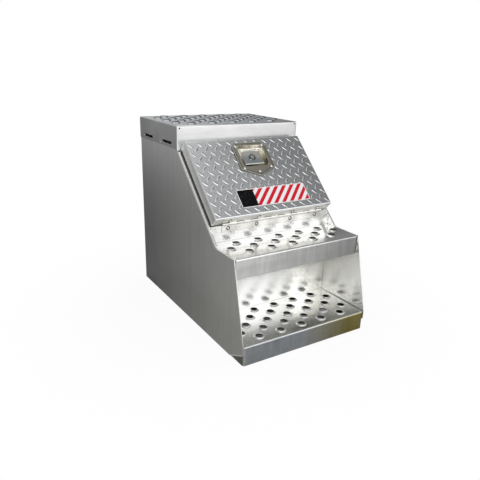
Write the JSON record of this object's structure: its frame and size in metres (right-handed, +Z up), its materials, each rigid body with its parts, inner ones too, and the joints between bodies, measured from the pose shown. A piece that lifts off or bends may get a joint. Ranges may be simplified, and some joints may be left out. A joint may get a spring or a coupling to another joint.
{
  "type": "truck step box",
  "caption": "Aluminium truck tool box with three tread steps and a bottom-hinged diamond plate door with a flush paddle latch on its sloping front.",
  "frame": {"origin": "floor level under the middle of the box", "axes": "+Z up, -Y the front with the steps and the door, +X to the right seen from the front"},
  "size_m": [0.4608, 0.7112, 0.6126],
  "materials": {
    "body_sheet": "brushed",
    "tread_sheet": "polished",
    "diamond_plate": "satin",
    "rivet": "satin",
    "stainless": "polished",
    "plated_steel": "satin",
    "lock_chrome": "polished",
    "seal": "matte",
    "gasket": "matte"
  },
  "bodies": {
    "box": {"left_side_panel": "body_sheet", "right_side_panel": "body_sheet", "back_panel": "body_sheet", "floor_pan": "body_sheet", "front_wall": "body_sheet", "door_frame": "body_sheet", "top_step": "tread_sheet", "middle_step": "tread_sheet", "lower_step": "tread_sheet", "skirt_rivets": "rivet", "door_seal": "seal", "strike_plate": "plated_steel", "strike_rivets": "rivet", "hinge_body_leaf": "stainless", "hinge_pin": "stainless", "hinge_body_rivets": "rivet"},
    "door": {"door_skin": "diamond_plate", "hinge_door_leaf": "stainless", "hinge_door_rivets": "rivet", "latch_dish": "stainless", "lock_catch": "stainless", "latch_gasket": "gasket", "latch_rivets": "rivet", "bolt_housing": "plated_steel", "paddle_pin": "stainless", "bolt_spring": "plated_steel"},
    "paddle": {"paddle": "stainless", "lock_barrel": "lock_chrome", "lock_nut": "plated_steel"},
    "bolt": {"latch_bolt": "plated_steel"},
    "lock": {"lock_plug": "lock_chrome", "lock_cam": "plated_steel"}
  },
  "joints": [
    {"name": "door_swing", "type": "hinge", "parent": "box", "child": "door", "pos_m": [0, -0.1584, 0.35079], "axis": [1, 0, 0], "range_deg": [0, 135]},
    {"name": "paddle_pull", "type": "hinge", "parent": "door", "child": "paddle", "pos_m": [0, -0.00146, 0.53391], "axis": [-1, 0, 0], "range_deg": [0, 30], "stiffness_Nm_per_rad": 0.3, "springref_deg": -20.05},
    {"name": "bolt_slide", "type": "slide", "parent": "door", "child": "bolt", "axis": [0, -0.7222, -0.6917], "range_m": [0, 0.0141], "deforming": ["bolt_spring"]},
    {"name": "lock_turn", "type": "hinge", "parent": "paddle", "child": "lock", "pos_m": [0, -0.0216, 0.51157], "axis": [0, 0.6917, -0.7222], "range_deg": [0, 90]}
  ],
  "couplings": [
    {"joint": "bolt_slide", "follows": "paddle_pull", "m_per_rad": 0.026738}
  ]
}
